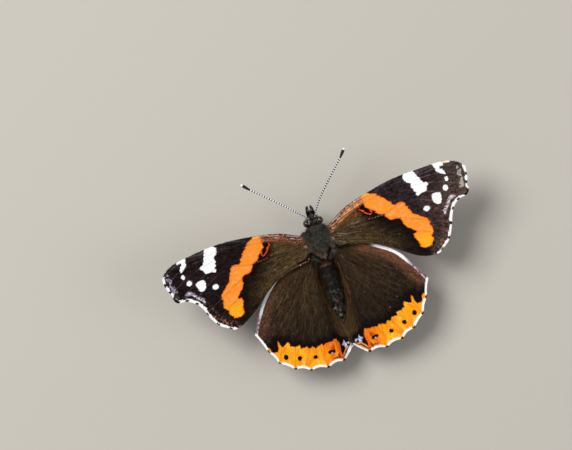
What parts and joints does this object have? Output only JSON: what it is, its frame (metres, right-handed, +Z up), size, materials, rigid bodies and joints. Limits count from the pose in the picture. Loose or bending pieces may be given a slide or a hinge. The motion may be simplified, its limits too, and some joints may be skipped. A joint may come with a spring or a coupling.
{
  "type": "red admiral butterfly",
  "caption": "Life-size butterfly at rest with its wings spread flat, near-black with orange bands and white spots.",
  "frame": {"origin": "on the floor, under the middle of the model's box", "axes": "+Y towards the head, +Z up from the floor, +X towards the butterfly's own right wings"},
  "size_m": [0.0672, 0.0424, 0.0136],
  "materials": {
    "forewing_scales": "matte scales",
    "hindwing_scales": "matte scales",
    "body_fur": "short fur",
    "eye": "glossy facets",
    "feeler_shaft": "ringed black and white",
    "dark_horn": "satin chitin",
    "leg_scales": "fine scales"
  },
  "bodies": {
    "root": {"abdomen": "body_fur", "antenna_left_club": "dark_horn", "antenna_left_shaft": "feeler_shaft", "antenna_right_club": "dark_horn", "antenna_right_shaft": "feeler_shaft", "eye_left": "eye", "eye_right": "eye", "forewing_left": "forewing_scales", "forewing_right": "forewing_scales", "head": "body_fur", "hindwing_left": "hindwing_scales", "hindwing_right": "hindwing_scales", "leg_fore_left_femur": "leg_scales", "leg_fore_left_tibia": "leg_scales", "leg_fore_right_femur": "leg_scales", "leg_fore_right_tibia": "leg_scales", "leg_hind_left_femur": "leg_scales", "leg_hind_left_tarsus": "leg_scales", "leg_hind_left_tibia": "leg_scales", "leg_hind_right_femur": "leg_scales", "leg_hind_right_tarsus": "leg_scales", "leg_hind_right_tibia": "leg_scales", "leg_mid_left_femur": "leg_scales", "leg_mid_left_tarsus": "leg_scales", "leg_mid_left_tibia": "leg_scales", "leg_mid_right_femur": "leg_scales", "leg_mid_right_tarsus": "leg_scales", "leg_mid_right_tibia": "leg_scales", "palp_left": "body_fur", "palp_right": "body_fur", "proboscis": "dark_horn", "prothorax": "body_fur", "thorax": "body_fur"}
  },
  "joints": []
}
